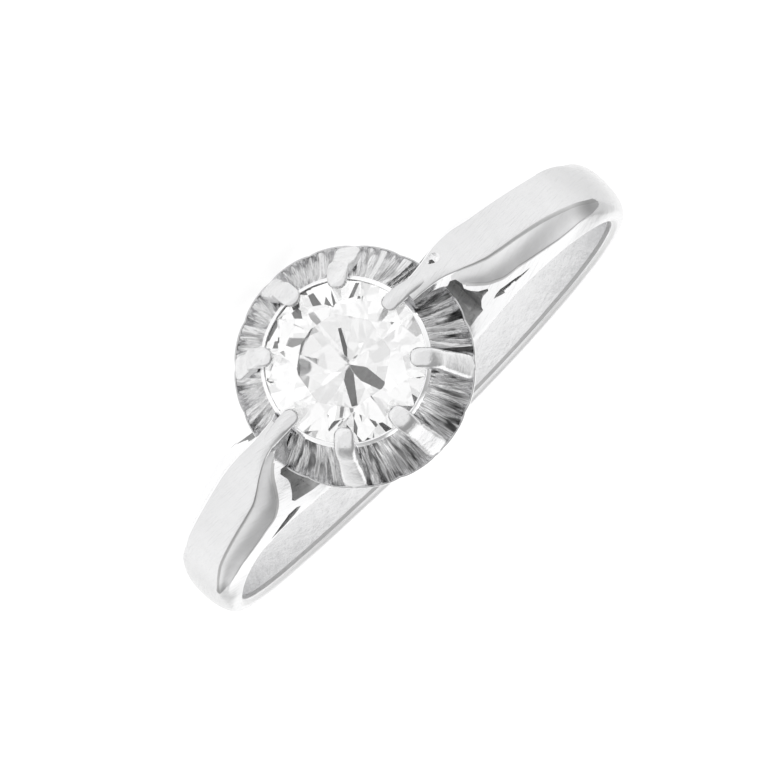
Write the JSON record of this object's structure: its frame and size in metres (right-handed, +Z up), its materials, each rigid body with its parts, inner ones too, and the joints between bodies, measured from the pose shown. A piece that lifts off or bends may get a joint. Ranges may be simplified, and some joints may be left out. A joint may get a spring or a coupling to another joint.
{
  "type": "solitaire ring",
  "caption": "Solitaire ring: a round brilliant in claws on a fluted round plate, over a hollow cup, with leaf-shaped pierced shoulders on a plain band, lying on its side.",
  "frame": {"origin": "on the floor under the middle of the ring's own bounding box, as it lies on its side", "axes": "+Z up from the floor; +Y away from the stone, towards the back of the band; +X across the band. The finger axis leans 8.49 degrees from +Z towards +Y, because the head's rim and the back of the band rest on the floor"},
  "size_m": [0.0184, 0.0226, 0.0074],
  "materials": {
    "metal": "polished white gold with fine wear scratches; bright-cut flutes on the plate",
    "stone": "polished colourless diamond, round brilliant cut"
  },
  "bodies": {
    "root": {"ring_mount": "metal", "stone": "stone"}
  },
  "joints": []
}
